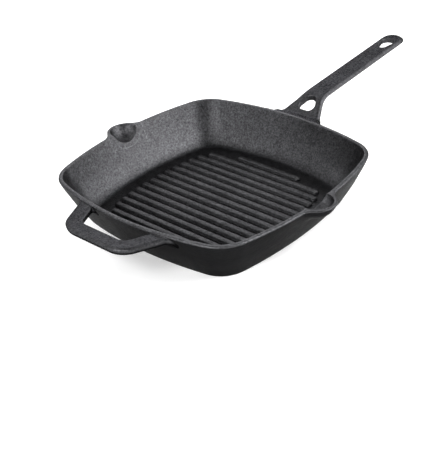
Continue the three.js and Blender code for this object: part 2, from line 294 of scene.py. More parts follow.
pan_iron = cast_iron(
    "pan_iron",
    dark=(0.038, 0.038, 0.040),
    light=(0.066, 0.066, 0.070),
    roughness=0.44,
    grain=0.6,
    # the pan's edges are rubbed bright enough to also paint the highlight along its rim
    edge=0.9,
    speck=0.52,
    glance=0.5,
    # painted shade: the pan's floor, gutters and foot are darkened to half
    sole_painted_shade=0.5,
)
rib_iron = cast_iron(
    "rib_iron",
    dark=(0.040, 0.040, 0.042),
    light=(0.066, 0.066, 0.069),
    roughness=0.46,
    grain=0.6,
    edge=0.6,
    speck=0.45,
    glance=0.35,
    sole_painted_shade=1.0,
)
handle_iron = cast_iron(
    "handle_iron",
    dark=(0.040, 0.040, 0.042),
    light=(0.066, 0.066, 0.070),
    roughness=0.44,
    grain=0.45,
    edge=0.9,
    speck=0.45,
    glance=0.25,
    sole_painted_shade=1.0,
)


# ---- pieces -----------------------------------------------------------------------------------
def piece(name, points, faces, normals, material, nodes):
    """A closed mesh in millimetres that stands for CAD nodes, shaded with the normals given."""
    mesh = bpy.data.meshes.new(name)
    mesh.from_pydata((np.asarray(points) * MM).tolist(), [], [list(face) for face in faces])
    mesh.polygons.foreach_set("use_smooth", np.ones(len(mesh.polygons), bool))
    mesh.update()
    mesh.normals_split_custom_set_from_vertices(np.asarray(normals, float).tolist())
    mesh.materials.append(material)
    made = bpy.data.objects.new(name, mesh)
    bpy.context.scene.collection.objects.link(made)
    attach(made, "root")
    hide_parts(*nodes)


def smoothstep(low, high, value):
    share = np.clip((value - low) / (high - low), 0.0, 1.0)
    return share * share * (3.0 - 2.0 * share)


def unit(vectors):
    return vectors / np.maximum(np.linalg.norm(vectors, axis=-1, keepdims=True), 1e-12)


def surface_normals(points, faces):
    """Vertex normals of a mesh of quads and triangles, weighted by area."""
    total = np.zeros_like(points)
    for count in (3, 4):
        some = np.array([face for face in faces if len(face) == count], int).reshape(-1, count)
        if len(some) == 0:
            continue
        corners = points[some]
        if count == 3:
            across = np.cross(corners[:, 1] - corners[:, 0], corners[:, 2] - corners[:, 0])
        else:
            across = np.cross(corners[:, 2] - corners[:, 0], corners[:, 3] - corners[:, 1])
        for k in range(count):
            np.add.at(total, some[:, k], across)
    return unit(total)


# ---- pan: one closed skin on a grid of columns round the pan and rows along its section --------
SIDE_STEPS = 40
CORNER_STEPS = 22
FINE_HALF = 28.0
FINE_STEPS = 112
COARSE_STEPS = 22
PLAIN_HALF = 30.0


def corner_centre(half, side_radius, corner_radius):
    offset = side_radius - half
    reach = side_radius - corner_radius
    return (-offset + math.sqrt(2.0 * reach * reach - offset * offset)) / 2.0


def side_end(half, side_radius, corner_radius):
    centre = corner_centre(half, side_radius, corner_radius)
    return math.atan2(centre, centre + side_radius - half)


def bead(z):
    return BEAD * smoothstep(BEAD_LOW, BEAD_HIGH, z)


def belly(z):
    return WALL_BELLY * np.sin(math.pi * np.clip(z / RIM_Z, 0.0, 1.0))


def face_half(z):
    """Half width of the pan's outside at height z, without the rim's bead."""
    return BASE_HALF + WALL_SLOPE * z + belly(z)


def face_side_radius(z):
    return BASE_SIDE_RADIUS + (RIM_SIDE_RADIUS - BASE_SIDE_RADIUS) * z / RIM_Z + belly(z)


def outline_at(z):
    """Half width, side radius and corner radius of the pan's plan at height z."""
    swell = float(belly(z))
    corner = BASE_CORNER_RADIUS + (RIM_CORNER_RADIUS - BASE_CORNER_RADIUS) * z / RIM_Z + swell
    return float(face_half(z) + bead(z)), float(face_side_radius(z)), corner


RIM_OUTLINE = outline_at(RIM_Z)
SIDE_LENGTH = RIM_OUTLINE[1] * math.sin(side_end(*RIM_OUTLINE))
fine = np.linspace(-FINE_HALF, FINE_HALF, FINE_STEPS + 1)
spread_out = np.linspace(0.0, 1.0, COARSE_STEPS + 1)[1:]
coarse = FINE_HALF + (SIDE_LENGTH - FINE_HALF) * (0.35 * spread_out + 0.65 * spread_out**2)
SPOUT_SIDE = np.concatenate([-coarse[::-1], fine, coarse])[:-1]
PLAIN_SIDE = np.linspace(-1.0, 1.0, SIDE_STEPS + 1)[:-1]
CORNER = np.linspace(0.0, 1.0, CORNER_STEPS + 1)[:-1]


def plan_ring(half, side_radius, corner_radius):
    """Points round the pan, counted from the -Y end of the +X side, and which of them are spout columns."""
    centre = corner_centre(half, side_radius, corner_radius)
    end = side_end(half, side_radius, corner_radius)
    reach = side_radius * math.sin(end)
    angles = end + CORNER * (math.pi / 2.0 - 2.0 * end)
    corner = np.stack(
        [centre + corner_radius * np.cos(angles), centre + corner_radius * np.sin(angles)], -1
    )
    rings = []
    for quarter in range(4):
        if quarter % 2 == 0:
            along = side_radius * np.sin(PLAIN_SIDE * end)
        else:
            beyond = np.maximum(np.abs(SPOUT_SIDE) - PLAIN_HALF, 0.0)
            stretch = (reach - PLAIN_HALF) / (SIDE_LENGTH - PLAIN_HALF)
            along = np.sign(SPOUT_SIDE) * (np.minimum(np.abs(SPOUT_SIDE), PLAIN_HALF) + beyond * stretch)
        out = half - side_radius + np.sqrt(side_radius**2 - along**2)
        points = np.concatenate([np.stack([out, along], -1), corner])
        cosine, sine = math.cos(quarter * math.pi / 2.0), math.sin(quarter * math.pi / 2.0)
        rings.append(points @ np.array([[cosine, sine], [-sine, cosine]]))
    return np.concatenate(rings)


COLUMNS = len(plan_ring(*RIM_OUTLINE))
PLAIN_COUNT = SIDE_STEPS + CORNER_STEPS
SPOUT_COUNT = len(SPOUT_SIDE) + CORNER_STEPS


def fillet(before, corner, after, radius, steps):
    """Arc of that radius in the corner of a polyline, from the side of `before` to that of `after`."""
    corner = np.array(corner, float)
    first = unit(np.array(before, float) - corner)
    second = unit(np.array(after, float) - corner)
    half_angle = math.acos(float(first @ second)) / 2.0
    run = radius / math.tan(half_angle)
    middle = corner + unit(first + second) * radius / math.sin(half_angle)
    start = corner + first * run - middle
    finish = corner + second * run - middle
    turn_by = math.acos(float(unit(start) @ unit(finish)))
    shares = np.linspace(0.0, 1.0, steps + 1)
    mixed = [
        (math.sin((1 - s) * turn_by) * start + math.sin(s * turn_by) * finish) / math.sin(turn_by)
        for s in shares
    ]
    return [middle + point for point in mixed]


# The plain section, as (distance from the middle, height), from the floor round to the underside.
INNER_ROWS = 30
RIM_ROWS = 12
BASE_AIM = 8.0  # heights that the straight sides of the fillets run through
FOOT_AIM = 11.0
RIM_AIM = 46.0


def outer_half(z):
    return float(face_half(z) + bead(z))


def inner_half(z):
    return float(face_half(z)) - WALL


floor_corner = (inner_half(FLOOR_Z), FLOOR_Z)
rim_inner = (inner_half(RIM_Z), RIM_Z)
rim_outer = (outer_half(RIM_Z), RIM_Z)
base_corner = (BASE_HALF, 0.0)
foot = fillet((0.0, FLOOR_Z), floor_corner, (inner_half(FOOT_AIM), FOOT_AIM), FLOOR_FILLET, 7)
lip_in = fillet((inner_half(RIM_AIM), RIM_AIM), rim_inner, rim_outer, RIM_INNER_FILLET, 4)
lip_out = fillet(rim_inner, rim_outer, (outer_half(RIM_AIM), RIM_AIM), RIM_OUTER_FILLET, 5)
base = fillet((outer_half(BASE_AIM), BASE_AIM), base_corner, (0.0, 0.0), BASE_FILLET, 6)
section = list(foot)
section += [np.array((inner_half(z), z)) for z in np.linspace(foot[-1][1], SPOUT_LOW, 8)[1:]]
ZONE_START = len(section) - 1
section += [
    np.array((inner_half(z), z)) for z in np.linspace(SPOUT_LOW, lip_in[0][1], INNER_ROWS + 1)[1:]
]
section += lip_in[1:]
section += [lip_in[-1] + (lip_out[0] - lip_in[-1]) * s for s in (1 / 3, 2 / 3)]
section += lip_out
section += [
    np.array((outer_half(z), z)) for z in np.linspace(lip_out[-1][1], SPOUT_LOW, INNER_ROWS + 1)[1:]
]
ZONE_END = len(section) - 1
section += [np.array((outer_half(z), z)) for z in np.linspace(SPOUT_LOW, FLOOR_Z, 9)[1:]]
OUTER_SEAM = len(section) - 1
section += [np.array((outer_half(z), z)) for z in np.linspace(FLOOR_Z, base[0][1], 3)[1:]]
section += base[1:]
ROWS = len(section)
assert ZONE_END - ZONE_START == 2 * INNER_ROWS + RIM_ROWS


def ring_points(point):
    """One ring of the plain pan: the plan outline whose half width is the section point's."""
    reach, z = float(point[0]), float(point[1])
    half, side, corner = outline_at(z)
    inset = half - reach
    inside = smoothstep(0.0, 1.0, inset / WALL)
    near_foot = float(inside * (1.0 - smoothstep(FLOOR_Z, FLOOR_Z + FOOT_FADE, z)))
    side += near_foot * (FOOT_SIDE_RADIUS - side)
    corner += near_foot * (FOOT_CORNER_RADIUS - corner)
    depth = inset - WALL * near_foot
    ring = plan_ring(reach, side - depth, corner - depth)
    return np.concatenate([ring, np.full((len(ring), 1), z)], 1)


grid = np.stack([ring_points(point) for point in section])


# ---- pour spouts, pressed into the grid ----------------------------------------------------------
def smooth_min(a, b, width):
    overlap = np.maximum(width - np.abs(a - b), 0.0) / width
    return np.minimum(a, b) - overlap * overlap * width / 4.0


def smooth_max(a, b, width):
    return -smooth_min(-a, -b, width)


def wall_y(x, z, inset):
    """How far out a side of the pan lies at x along it and height z."""
    side = face_side_radius(z) - inset
    swell = bead(z) if inset == 0.0 else 0.0
    return face_half(z) + swell - inset - side + np.sqrt(side**2 - x**2)


SEARCH_FROM = 95.0
SEARCH_TO = 165.0
HALVINGS = 40


def spout_outer(x, z):
    """How far out the shell of the spout and the wall, run together, lie at x and z."""
    low = np.full(np.shape(z), SEARCH_FROM)
    high = np.full(np.shape(z), SEARCH_TO)
    for _ in range(HALVINGS):
        middle = (low + high) / 2.0
        wall = (middle - wall_y(x, z, 0.0)) * WALL_COS
        ball = np.sqrt(x**2 + (middle - SCOOP_Y) ** 2 + (z - SCOOP_Z) ** 2)
        outside = smooth_min(wall, ball - SCOOP_RADIUS - SPOUT_WALL, SPOUT_BLEND) > 0.0
        high = np.where(outside, middle, high)
        low = np.where(outside, low, middle)
    return (low + high) / 2.0


def spaced(path, steps):
    """The path again, in that many equal steps along its length."""
    lengths = np.concatenate([[0.0], np.cumsum(np.linalg.norm(np.diff(path, axis=0), axis=1))])
    marks = np.linspace(0.0, lengths[-1], steps + 1)
    return np.stack([np.interp(marks, lengths, path[:, k]) for k in range(2)], -1)


def trimmed(path, start, finish):
    """The path without its first `start` and last `finish` millimetres."""
    lengths = np.concatenate([[0.0], np.cumsum(np.linalg.norm(np.diff(path, axis=0), axis=1))])
    inner = lengths[(lengths > start) & (lengths < lengths[-1] - finish)]
    marks = np.concatenate([[start], inner, [lengths[-1] - finish]])
    return np.stack([np.interp(marks, lengths, path[:, k]) for k in range(2)], -1)


def bend_over(first, corner, last, steps):
    shares = np.linspace(0.0, 1.0, steps + 1)[:, None]
    return (1 - shares) ** 2 * first + 2 * shares * (1 - shares) * corner + shares**2 * last


def length_of(path):
    return float(np.linalg.norm(np.diff(path, axis=0), axis=1).sum())


CREASE_STEPS = 4
SCOOP_STEPS = 13
BELOW_STEPS = INNER_ROWS - CREASE_STEPS - SCOOP_STEPS
CREASE_EASE = 0.8
LIP_EASE_IN = 0.9
LIP_EASE_OUT = 1.8
PLAIN_BREAK = 38.0  # height of the crease's row where the spout has died out


def spout_section(x):
    """The section of the pan at x along a spouted side, as (distance out, height) rows."""
    slice_square = SCOOP_RADIUS**2 - x**2
    rise = SCOOP_Z - RIM_Z
    crossing = None
    if slice_square > rise**2 + 0.02:
        slice_radius = math.sqrt(slice_square)
        heights = np.linspace(SPOUT_LOW, RIM_Z, 4001)
        gap = np.hypot(wall_y(x, heights, WALL) - SCOOP_Y, heights - SCOOP_Z) - slice_radius
        inside = np.nonzero(gap < 0.0)[0]
        if len(inside):
            crossing = float(heights[inside[0]])
    if crossing is None:
        edge = math.sqrt(SCOOP_RADIUS**2 - rise**2)
        share = float(smoothstep(edge, FINE_HALF, abs(x)))
        stop = RIM_Z - LIP_EASE_IN + share * (PLAIN_BREAK - RIM_Z + LIP_EASE_IN)
        heights = np.linspace(SPOUT_LOW, stop, 20)
        below = np.stack([wall_y(x, heights, WALL), heights], -1)
        heights = np.linspace(stop, RIM_Z, 20)
        scooped = np.stack([wall_y(x, heights, WALL), heights], -1)
    else:
        heights = np.linspace(SPOUT_LOW, crossing, 40)
        below = np.stack([wall_y(x, heights, WALL), heights], -1)
        start = math.atan2(crossing - SCOOP_Z, float(below[-1, 0]) - SCOOP_Y)
        finish = math.atan2(-rise, math.sqrt(slice_square - rise**2))
        turns = np.linspace(start, finish, 60)
        scooped = np.stack(
            [SCOOP_Y + slice_radius * np.cos(turns), SCOOP_Z + slice_radius * np.sin(turns)], -1
        )
    heights = np.linspace(RIM_Z, SPOUT_LOW, 120)
    outer = np.stack([spout_outer(x, heights), heights], -1)
    crease = scooped[0]
    lip_start = scooped[-1]
    lip_end = outer[0]
    top_length = float(lip_end[0] - lip_start[0])
    ease_crease = min(CREASE_EASE, 0.3 * length_of(scooped))
    ease_in = min(LIP_EASE_IN, 0.3 * length_of(scooped), 0.3 * top_length)
    ease_out = min(LIP_EASE_OUT, 0.5 * top_length)
    top = np.stack([lip_start, lip_end])
    below = trimmed(below, 0.0, ease_crease)
    scooped = trimmed(scooped, ease_crease, ease_in)
    top = trimmed(top, ease_in, ease_out)
    outer = trimmed(outer, ease_out, 0.0)
    rows = [
        spaced(below, BELOW_STEPS),
        bend_over(below[-1], crease, scooped[0], CREASE_STEPS)[1:],
        spaced(scooped, SCOOP_STEPS)[1:],
        bend_over(scooped[-1], lip_start, top[0], 4)[1:],
        spaced(top, 3)[1:],
        bend_over(top[-1], lip_end, outer[0], 5)[1:],
        spaced(outer, INNER_ROWS)[1:],
    ]
    return np.concatenate(rows)


BLEND_IN = 22.0
for side, sign in ((1, 1.0), (3, -1.0)):
    first_column = PLAIN_COUNT + (0 if side == 1 else PLAIN_COUNT + SPOUT_COUNT)
    for k, along in enumerate(SPOUT_SIDE):
        if abs(along) >= FINE_HALF:
            continue
        column = first_column + k
        weight = 1.0 - float(smoothstep(BLEND_IN, FINE_HALF, abs(along)))
        rows = spout_section(float(along))
        pressed = np.stack([np.full(len(rows), -sign * along), sign * rows[:, 0], rows[:, 1]], -1)
        plain = grid[ZONE_START : ZONE_END + 1, column]
        grid[ZONE_START : ZONE_END + 1, column] = plain + weight * (pressed - plain)


# ---- floor, wall and spouts cut from the one skin ----------------------------------------------
DISC_SCALES = (0.86, 0.7, 0.5, 0.3, 0.12)
CENTRE_TOP = ROWS * COLUMNS + 2 * len(DISC_SCALES) * COLUMNS
skin = [grid.reshape(-1, 3)]
for end_row in (0, ROWS - 1):
    for scale in DISC_SCALES:
        ring = grid[end_row].copy()
        ring[:, :2] *= scale
        skin.append(ring)
skin.append(np.array([[0.0, 0.0, FLOOR_Z], [0.0, 0.0, 0.0]]))
skin = np.concatenate(skin)


def at(row, column):
    return row * COLUMNS + column % COLUMNS


def band_faces(lower, upper):
    """Quads between two rings, given by the index of each ring's first point."""
    return [
        (lower + k, lower + (k + 1) % COLUMNS, upper + (k + 1) % COLUMNS, upper + k)
        for k in range(COLUMNS)
    ]


top_rings = [(ROWS + k) * COLUMNS for k in range(len(DISC_SCALES))]
low_rings = [(ROWS + len(DISC_SCALES) + k) * COLUMNS for k in range(len(DISC_SCALES))]
floor_faces = []
for outer_ring, inner_ring in zip([0] + top_rings[:-1], top_rings):
    floor_faces += band_faces(inner_ring, outer_ring)
floor_faces = [tuple(reversed(face)) for face in floor_faces]
for outer_ring, inner_ring in zip([(ROWS - 1) * COLUMNS] + low_rings[:-1], low_rings):
    floor_faces += [tuple(reversed(face)) for face in band_faces(outer_ring, inner_ring)]
for k in range(COLUMNS):
    after = (k + 1) % COLUMNS
    floor_faces.append((top_rings[-1] + k, top_rings[-1] + after, CENTRE_TOP))
    floor_faces.append((low_rings[-1] + after, low_rings[-1] + k, CENTRE_TOP + 1))
floor_skin = list(floor_faces)
for row in range(OUTER_SEAM, ROWS - 1):
    floor_skin += [tuple(reversed(face)) for face in band_faces(row * COLUMNS, (row + 1) * COLUMNS)]

SEAM_ROW = 8  # rows of the spout's zone that stay with the wall, inside and outside
SEAM_HALF = 24.0
seam_from = int(np.argmin(np.abs(SPOUT_SIDE + SEAM_HALF)))
seam_to = int(np.argmin(np.abs(SPOUT_SIDE - SEAM_HALF)))
low_row, high_row = ZONE_START + SEAM_ROW, ZONE_END - SEAM_ROW
spout_columns = {}
right_start = 2 * PLAIN_COUNT + SPOUT_COUNT
for name, start in (("pour_spout_left", PLAIN_COUNT), ("pour_spout_right", right_start)):
    spout_columns[name] = (start + seam_from, start + seam_to)

wall_skin = []
spout_skin = {name: [] for name in spout_columns}
for row in range(0, OUTER_SEAM):
    for column, face in enumerate(band_faces(row * COLUMNS, (row + 1) * COLUMNS)):
        owner = wall_skin
        for name, (start, stop) in spout_columns.items():
            if low_row <= row < high_row and start <= column < stop:
                owner = spout_skin[name]
        owner.append(tuple(reversed(face)))

whole_normals = surface_normals(skin, floor_skin + wall_skin + sum(spout_skin.values(), []))

# Faces where the pieces meet, inside the iron.
foot_seam = [
    (at(0, k), at(0, k + 1), at(OUTER_SEAM, k + 1), at(OUTER_SEAM, k)) for k in range(COLUMNS)
]
wall_closed = wall_skin + foot_seam
floor_closed = floor_skin + [tuple(reversed(face)) for face in foot_seam]
spout_closed = {}
for name, (start, stop) in spout_columns.items():
    joint = [
        (at(low_row, k), at(low_row, k + 1), at(high_row, k + 1), at(high_row, k))
        for k in range(start, stop)
    ]
    for column, flip in ((start, True), (stop, False)):
        inner, outer = low_row, high_row
        while inner < outer:
            quad = [at(inner, column), at(inner + 1, column), at(outer - 1, column), at(outer, column)]
            if inner + 1 == outer - 1:
                quad = [quad[0], quad[1], quad[3]]
            joint.append(tuple(reversed(quad)) if flip else tuple(quad))
            inner, outer = inner + 1, outer - 1
            if inner == outer:
                break
    spout_closed[name] = spout_skin[name] + joint
    wall_closed += [tuple(reversed(face)) for face in joint]


def piece_of_skin(node, faces):
    """The piece that stands for a node of the pan, cut from the whole skin by its faces."""
    used = np.unique(np.concatenate([np.array(face) for face in faces]))
    renumber = np.full(len(skin), -1)
    renumber[used] = np.arange(len(used))
    faces = [tuple(int(renumber[k]) for k in face) for face in faces]
    normals = whole_normals[used]
    piece(node + "_skin", skin[used], faces, normals, pan_iron, [node])


piece_of_skin("pan_floor", floor_closed)
piece_of_skin("pan_wall", wall_closed)
for name, faces in spout_closed.items():
    piece_of_skin(name, faces)


# ---- ribs ---------------------------------------------------------------------------------------
RIB_SINK = 0.25
RIB_FLARE = 0.9
RIB_CROWN = 0.3
RIB_SHOULDER = 1.25
RIB_LEAN = 0.7
RIB_END_WIDE = 3.6
RIB_END_TALL = 4.6
RIB_END_SHARE = 0.12  # share of a rib's width left at its very end
RIB_SEATING = 0.35


def rib_section(half, height):
    """Half of a rib's section, foot to crown, as (distance from its middle, height)."""
    flare = [
        (half + RIB_FLARE - RIB_FLARE * math.sin(a), RIB_FLARE - RIB_FLARE * math.cos(a))
        for a in np.linspace(0.0, math.pi / 2.0 - 0.15, 5)
    ]
    top = half - RIB_LEAN
    shoulder = fillet(flare[-1], (top, height - RIB_CROWN), (0.0, height), RIB_SHOULDER, 5)
    crown = [
        shoulder[-1] + (np.array((0.0, height)) - shoulder[-1]) * s for s in (0.33, 0.66, 1.0)
    ]
    return np.array([(half + RIB_FLARE, -RIB_SINK)] + flare + [tuple(p) for p in shoulder + crown])


def rib(name):
    low, high = box_mm(name)
    middle = (low[0] + high[0]) / 2.0
    half = (high[0] - low[0]) / 2.0
    height = high[2] - FLOOR_Z
    profile = rib_section(half, height)
    loop = np.concatenate([profile, profile[-2::-1] * (-1.0, 1.0)])
    near_end = RIB_END_TALL * (1.0 - np.cos(np.linspace(0.12, math.pi / 2.0, 11)))
    span_y = high[1] - low[1]
    inner = np.linspace(RIB_END_TALL, span_y - RIB_END_TALL, max(3, int(span_y / 6.0)) + 1)
    stations = np.concatenate([near_end, inner[1:-1], span_y - near_end[::-1]])
    rings = []
    for station in stations:
        from_end = min(station, span_y - station)
        wide = math.sqrt(1.0 - (1.0 - min(from_end / RIB_END_WIDE, 1.0)) ** 2)
        tall = math.sqrt(1.0 - (1.0 - min(from_end / RIB_END_TALL, 1.0)) ** 2)
        ring = np.stack(
            [
                middle + loop[:, 0] * (RIB_END_SHARE + (1.0 - RIB_END_SHARE) * wide),
                np.full(len(loop), low[1] + station),
                FLOOR_Z + np.where(loop[:, 1] > 0.0, loop[:, 1] * tall, loop[:, 1]),
            ],
            -1,
        )
        rings.append(ring)
    points = np.concatenate(rings)
    count = len(loop)
    faces = []
    for band in range(len(rings) - 1):
        for k in range(count):
            after = (k + 1) % count
            a, b = band * count, (band + 1) * count
            faces.append((a + k, a + after, b + after, b + k))
    faces.append(tuple(range(count - 1, -1, -1)))
    last = (len(rings) - 1) * count
    faces.append(tuple(last + k for k in range(count)))
    shown = [face for face in faces if len(face) == 4]
    normals = surface_normals(points, shown)
    seated = np.clip(1.0 - (points[:, 2] - FLOOR_Z) / RIB_SEATING, 0.0, 1.0)[:, None]
    normals = unit(normals * (1.0 - seated) + np.array([0.0, 0.0, 1.0]) * seated)
    piece(name + "_cast", points, faces, normals, rib_iron, [name])


for rib_name in RIB_NODES:
    rib(rib_name)


# ---- handles: distance fields, meshed ------------------------------------------------------------
def bent(x, corner_x, corner_y, before, after, radius):
    """Height and slope angle along two straight lines joined by an arc; angles are from +X."""
    way = 1.0 if after > before else -1.0
    run = radius * math.tan(abs(after - before) / 2.0)
    start_x = corner_x - run * math.cos(before)
    start_y = corner_y - run * math.sin(before)
    end_x = corner_x + run * math.cos(after)
    centre_x = start_x - way * radius * math.sin(before)
    centre_y = start_y + way * radius * math.cos(before)
    on_arc = np.sqrt(np.maximum(radius**2 - (x - centre_x) ** 2, 0.0))
    arc_y = centre_y - way * on_arc
    line_before = corner_y + (x - corner_x) * math.tan(before)
    line_after = corner_y + (x - corner_x) * math.tan(after)
    y = np.where(x < start_x, line_before, np.where(x > end_x, line_after, arc_y))
    arc_angle = np.arctan2(way * (x - centre_x), np.maximum(on_arc, 1e-6))
    angle = np.where(x < start_x, before, np.where(x > end_x, after, arc_angle))
    return y, angle


def rounded(x, y, first, second, radius):
    """Distance outside a corner of two lines (nx, ny, offset), rounded with that radius."""
    one = first[0] * x + first[1] * y - first[2]
    two = second[0] * x + second[1] * y - second[2]
    lines = np.array([first[:2], second[:2]])
    centre = np.linalg.solve(lines, np.array([first[2] - radius, second[2] - radius]))
    vx, vy = x - centre[0], y - centre[1]
    turns = first[0] * second[1] - first[1] * second[0]
    sense = 1.0 if turns > 0.0 else -1.0
    past_first = sense * (first[0] * vy - first[1] * vx) > 0.0
    past_second = sense * (vx * second[1] - vy * second[0]) > 0.0
    return np.where(past_first & past_second, np.hypot(vx, vy) - radius, np.maximum(one, two))


def face_distance(out, across, z):
    """Distance outside the pan's outer face on the side that `out` points to."""
    side = face_side_radius(z)
    half = face_half(z) + bead(z)
    return (np.hypot(out - half + side, across) - side) * WALL_COS


def cast_section(height, inward, thickness, bevel_wide, bevel_down, under_wide):
    """A bar with a bevelled top edge and a rounded underside; height is from its top face."""
    bevel = bevel_down / bevel_wide
    top = height
    slope = (height + bevel_down - bevel * inward) / math.sqrt(1.0 + bevel**2)
    depth = thickness - bevel_down
    u = np.clip((under_wide - inward) / under_wide, 0.0, None)
    v = np.clip((-height - bevel_down) / depth, 0.0, None)
    steep = 2.0 * np.sqrt((u / under_wide) ** 2 + (v / depth) ** 2)
    under = (u * u + v * v - 1.0) / np.maximum(steep, 1.0 / depth)
    under = np.where(-height > bevel_down, under, -inward)
    return smooth_max(smooth_max(top, slope, 0.9), under, 0.7)


ROOT_DEPTH = 2.8  # how far a handle's hidden root goes into the wall
ROOT_ROUND = 1.6


def joined_to_wall(field, face, z, fillet_low, fillet_top):
    """Runs the piece into the wall with a fillet, and ends it inside the wall."""
    width = fillet_low + (fillet_top - fillet_low) * smoothstep(RIM_Z - 9.0, RIM_Z - 2.0, z)
    wall = smooth_max(face, z - RIM_Z, ROOT_ROUND)
    blended = smooth_min(field, wall, width) + 0.05
    rooted = smooth_max(blended, -(face + ROOT_DEPTH), ROOT_ROUND)
    return smooth_max(rooted, field - fillet_low, 1.0)


def hang_hole(x, y):
    """Distance outside the teardrop hole."""
    aside, along = np.abs(y), x - (HANG_X - HANG_SPACING)
    lean = (HANG_NECK_RADIUS - HANG_RADIUS) / HANG_SPACING
    flat = math.sqrt(1.0 - lean * lean)
    place = -lean * aside + flat * along
    narrow = np.hypot(aside, along) - HANG_NECK_RADIUS
    wide = np.hypot(aside, along - HANG_SPACING) - HANG_RADIUS
    straight = aside * flat + along * lean - HANG_NECK_RADIUS
    return np.where(place < 0.0, narrow, np.where(place > flat * HANG_SPACING, wide, straight))


def fork_hole(x, y):
    """Distance outside the hole between the fork's legs."""
    aside = np.abs(y)
    sine, cosine = math.sin(FORK_ANGLE), math.cos(FORK_ANGLE)
    leg = (sine, cosine, (NECK_X * sine + HANDLE_HALF_WIDTH * cosine) - FORK_LEG)
    mirrored = (sine, -cosine, leg[2])
    near = (-1.0, 0.0, -HOLE_X)
    near_corner = rounded(x, aside, leg, near, HOLE_NEAR_RADIUS)
    far_corner = rounded(x, aside, mirrored, leg, HOLE_FAR_RADIUS)
    return np.maximum(near_corner, far_corner)


def long_handle(x, y, z):
    top_z, top_angle = bent(x, BEND_X, BEND_Z, RAMP_ANGLE, BAR_ANGLE, BEND_RADIUS)
    height = (z - top_z) * np.cos(top_angle)
    wide, wide_angle = bent(x, NECK_X, HANDLE_HALF_WIDTH, -FORK_ANGLE, 0.0, NECK_RADIUS)
    beyond = np.maximum(x - (HANDLE_TIP - HANDLE_HALF_WIDTH), 0.0)
    outside = np.where(
        beyond > 0.0,
        np.hypot(beyond, y) - HANDLE_HALF_WIDTH,
        (np.abs(y) - wide) * np.cos(wide_angle),
    )
    bar = cast_section(
        height, -outside, HANDLE_THICKNESS, HANDLE_BEVEL_WIDE, HANDLE_BEVEL_DOWN, HANDLE_UNDER_WIDE
    )
    ledge_z, ledge_angle = bent(x, LEDGE_EDGE, LEDGE_Z, 0.0, LEDGE_FALL, LEDGE_EDGE_RADIUS)
    ledge = (z - ledge_z) * np.cos(ledge_angle)
    ledge = smooth_max(ledge, outside, 3.0)
    ledge = np.maximum(np.maximum(ledge, -(height + HANDLE_THICKNESS)), x - NECK_X)
    body = smooth_min(bar, ledge, 4.0)
    for hole in (fork_hole(x, y), hang_hole(x, y)):
        body = smooth_max(body, -hole, 0.8)
        body = smooth_max(body, (height + HOLE_CHAMFER - hole) * math.sqrt(0.5), 0.5)
    return joined_to_wall(body, face_distance(x, y, z), z, 6.0, 1.0)


def helper_handle(x, y, z):
    out, aside = -x, np.abs(y)
    height = z - HELPER_TOP
    cosine = 1.0 / math.hypot(1.0, HELPER_SPREAD)
    sine = HELPER_SPREAD * cosine
    reach = HELPER_FRONT * sine + HELPER_FRONT_HALF * cosine
    front = (1.0, 0.0, HELPER_FRONT)
    outside = rounded(out, aside, front, (sine, cosine, reach), HELPER_OUTER_RADIUS)
    inner_front = (1.0, 0.0, HELPER_FRONT - HELPER_BAR)
    inner_leg = (sine, cosine, reach - HELPER_LEG * cosine)
    hole = rounded(out, aside, inner_front, inner_leg, HELPER_INNER_RADIUS)
    loop = cast_section(
        height, -outside, HELPER_THICKNESS, HELPER_BEVEL_WIDE, HELPER_BEVEL_DOWN, HELPER_UNDER_WIDE
    )
    inner = cast_section(height, hole, HELPER_THICKNESS, 1.2, 1.0, 2.5)
    loop = smooth_max(loop, inner, 0.6)
    return joined_to_wall(loop, face_distance(out, y, z), z, 5.0, 1.2)


PINCH_FILL = -0.02


def unpinched(values):
    """The field's samples with no checkerboard of signs on a grid face, where the mesh would pinch."""
    low, high = slice(None, -1), slice(1, None)
    for u, v in ((0, 1), (1, 2), (0, 2)) * 3:
        corners = []
        for first, second in ((low, low), (high, high), (high, low), (low, high)):
            part = [slice(None)] * 3
            part[u], part[v] = first, second
            corners.append(values[tuple(part)])
        near, far, one, other = (corner < 0.0 for corner in corners)
        checkered = (near == far) & (one == other) & (near != one)
        for corner, filled in zip(corners, (near, far, one, other)):
            corner[checkered & ~filled] = PINCH_FILL
    return values


